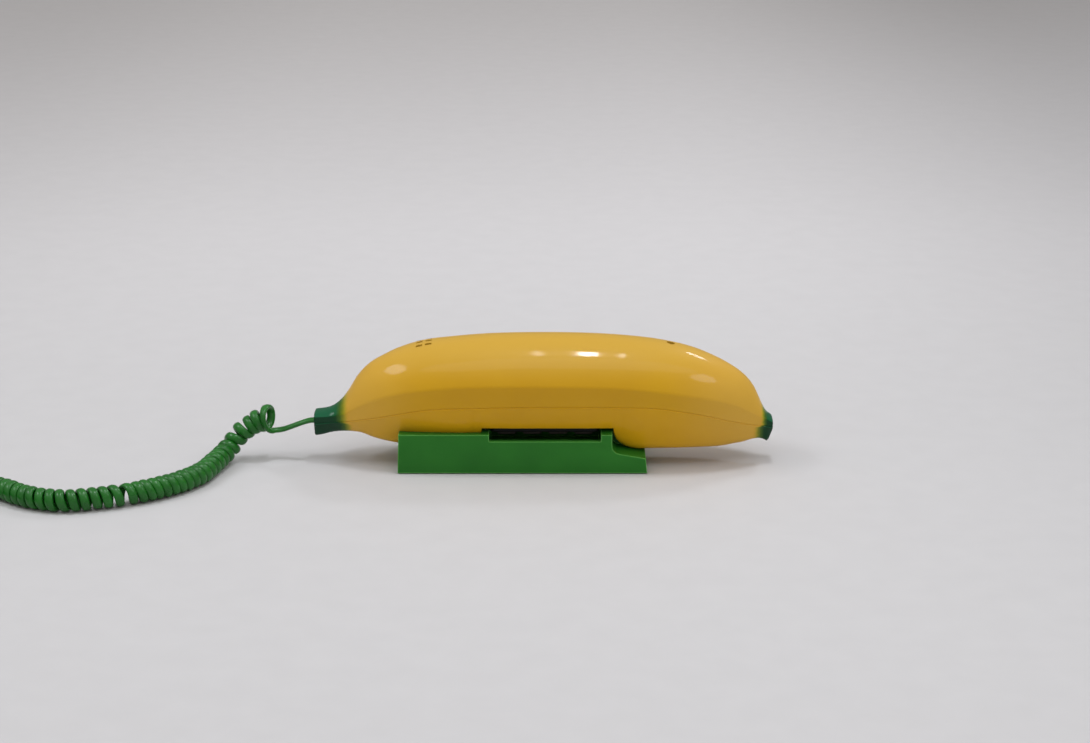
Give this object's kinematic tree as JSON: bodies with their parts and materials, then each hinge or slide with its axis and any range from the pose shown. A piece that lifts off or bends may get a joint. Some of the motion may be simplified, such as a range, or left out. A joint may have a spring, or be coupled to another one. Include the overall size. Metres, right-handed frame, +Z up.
{
  "type": "novelty shaped telephone",
  "caption": "One-piece novelty telephone shaped like a banana, lying face down in a low green stand, with a flat curly cord ending in a small modular plug.",
  "frame": {"origin": "on the table, under the middle of the handset's length and width", "axes": "+X along the handset from its stem to its tip, +Y across it to the back of the stand, +Z up"},
  "size_m": [0.4198, 0.1875, 0.0662],
  "materials": {
    "yellow_plastic": "moulded, soft sheen",
    "green_plastic": "moulded, soft sheen",
    "foot_rubber": "matt",
    "dark_plastic": "fine grain",
    "key_plastic": "fine grain",
    "silicone_mat": "matt",
    "board_laminate": "lacquered",
    "component_plastic": "matt",
    "bright_steel": "plated",
    "capsule_plastic": "matt",
    "capsule_metal": "satin",
    "soft_black_rubber": "matt",
    "brass_disc": "bright",
    "slider_plastic": "fine grain",
    "ballast_iron": "plain",
    "wire_insulation": "satin",
    "cord_jacket": "soft vinyl sheen",
    "clear_plastic": "translucent",
    "gilt_contacts": "bright"
  },
  "bodies": {
    "base": {"base_shell": "green_plastic", "base_feet": "foot_rubber", "cord_tail": "cord_jacket", "cord_coil": "cord_jacket", "cord_lead": "cord_jacket", "plug_body": "clear_plastic", "plug_latch": "clear_plastic", "plug_contacts": "gilt_contacts"},
    "handset": {"back_shell": "yellow_plastic", "face_shell": "yellow_plastic", "keypad_bezel": "dark_plastic", "key_mat": "silicone_mat", "circuit_board": "board_laminate", "board_components": "component_plastic", "board_screws": "bright_steel", "receiver_capsule": "capsule_plastic", "receiver_gasket": "soft_black_rubber", "microphone_capsule": "capsule_metal", "microphone_boot": "soft_black_rubber", "ringer_holder": "dark_plastic", "ringer_disc": "brass_disc", "hook_spring": "bright_steel", "hook_switch": "dark_plastic", "slide_switches": "bright_steel", "ballast_weight": "ballast_iron", "weight_screws": "bright_steel", "shell_screws": "bright_steel", "cord_grommet": "cord_jacket", "wiring": "wire_insulation"},
    "key_1": {"key_1": "key_plastic"},
    "key_2": {"key_2": "key_plastic"},
    "key_3": {"key_3": "key_plastic"},
    "key_4": {"key_4": "key_plastic"},
    "key_5": {"key_5": "key_plastic"},
    "key_6": {"key_6": "key_plastic"},
    "key_7": {"key_7": "key_plastic"},
    "key_8": {"key_8": "key_plastic"},
    "key_9": {"key_9": "key_plastic"},
    "key_star": {"key_star": "key_plastic"},
    "key_0": {"key_0": "key_plastic"},
    "key_hash": {"key_hash": "key_plastic"},
    "hook_plunger": {"hook_plunger": "dark_plastic"},
    "ringer_slider": {"ringer_slider": "slider_plastic"},
    "mode_slider": {"mode_slider": "slider_plastic"}
  },
  "joints": [
    {"name": "handset_lift", "type": "slide", "parent": "base", "child": "handset", "axis": [0, 0, 1], "range_m": [0, 0.08]},
    {"name": "key_1_press", "type": "slide", "parent": "handset", "child": "key_1", "axis": [0, 0, 1], "range_m": [0, 0.0012], "stiffness_N_per_m": 500, "springref_m": -0.0006},
    {"name": "key_2_press", "type": "slide", "parent": "handset", "child": "key_2", "axis": [0, 0, 1], "range_m": [0, 0.0012], "stiffness_N_per_m": 500, "springref_m": -0.0006},
    {"name": "key_3_press", "type": "slide", "parent": "handset", "child": "key_3", "axis": [0, 0, 1], "range_m": [0, 0.0012], "stiffness_N_per_m": 500, "springref_m": -0.0006},
    {"name": "key_4_press", "type": "slide", "parent": "handset", "child": "key_4", "axis": [0, 0, 1], "range_m": [0, 0.0012], "stiffness_N_per_m": 500, "springref_m": -0.0006},
    {"name": "key_5_press", "type": "slide", "parent": "handset", "child": "key_5", "axis": [0, 0, 1], "range_m": [0, 0.0012], "stiffness_N_per_m": 500, "springref_m": -0.0006},
    {"name": "key_6_press", "type": "slide", "parent": "handset", "child": "key_6", "axis": [0, 0, 1], "range_m": [0, 0.0012], "stiffness_N_per_m": 500, "springref_m": -0.0006},
    {"name": "key_7_press", "type": "slide", "parent": "handset", "child": "key_7", "axis": [0, 0, 1], "range_m": [0, 0.0012], "stiffness_N_per_m": 500, "springref_m": -0.0006},
    {"name": "key_8_press", "type": "slide", "parent": "handset", "child": "key_8", "axis": [0, 0, 1], "range_m": [0, 0.0012], "stiffness_N_per_m": 500, "springref_m": -0.0006},
    {"name": "key_9_press", "type": "slide", "parent": "handset", "child": "key_9", "axis": [0, 0, 1], "range_m": [0, 0.0012], "stiffness_N_per_m": 500, "springref_m": -0.0006},
    {"name": "key_star_press", "type": "slide", "parent": "handset", "child": "key_star", "axis": [0, 0, 1], "range_m": [0, 0.0012], "stiffness_N_per_m": 500, "springref_m": -0.0006},
    {"name": "key_0_press", "type": "slide", "parent": "handset", "child": "key_0", "axis": [0, 0, 1], "range_m": [0, 0.0012], "stiffness_N_per_m": 500, "springref_m": -0.0006},
    {"name": "key_hash_press", "type": "slide", "parent": "handset", "child": "key_hash", "axis": [0, 0, 1], "range_m": [0, 0.0012], "stiffness_N_per_m": 500, "springref_m": -0.0006},
    {"name": "hook_plunger_slide", "type": "slide", "parent": "handset", "child": "hook_plunger", "axis": [0, 0, -1], "range_m": [0, 0.003], "deforming": ["hook_spring"]},
    {"name": "ringer_slider_slide", "type": "slide", "parent": "handset", "child": "ringer_slider", "axis": [1, 0, 0], "range_m": [-0.002, 0.002]},
    {"name": "mode_slider_slide", "type": "slide", "parent": "handset", "child": "mode_slider", "axis": [1, 0, 0], "range_m": [-0.002, 0.002]}
  ],
  "couplings": [
    {"joint": "hook_plunger_slide", "follows": "handset_lift", "ratio": 0.0375}
  ]
}
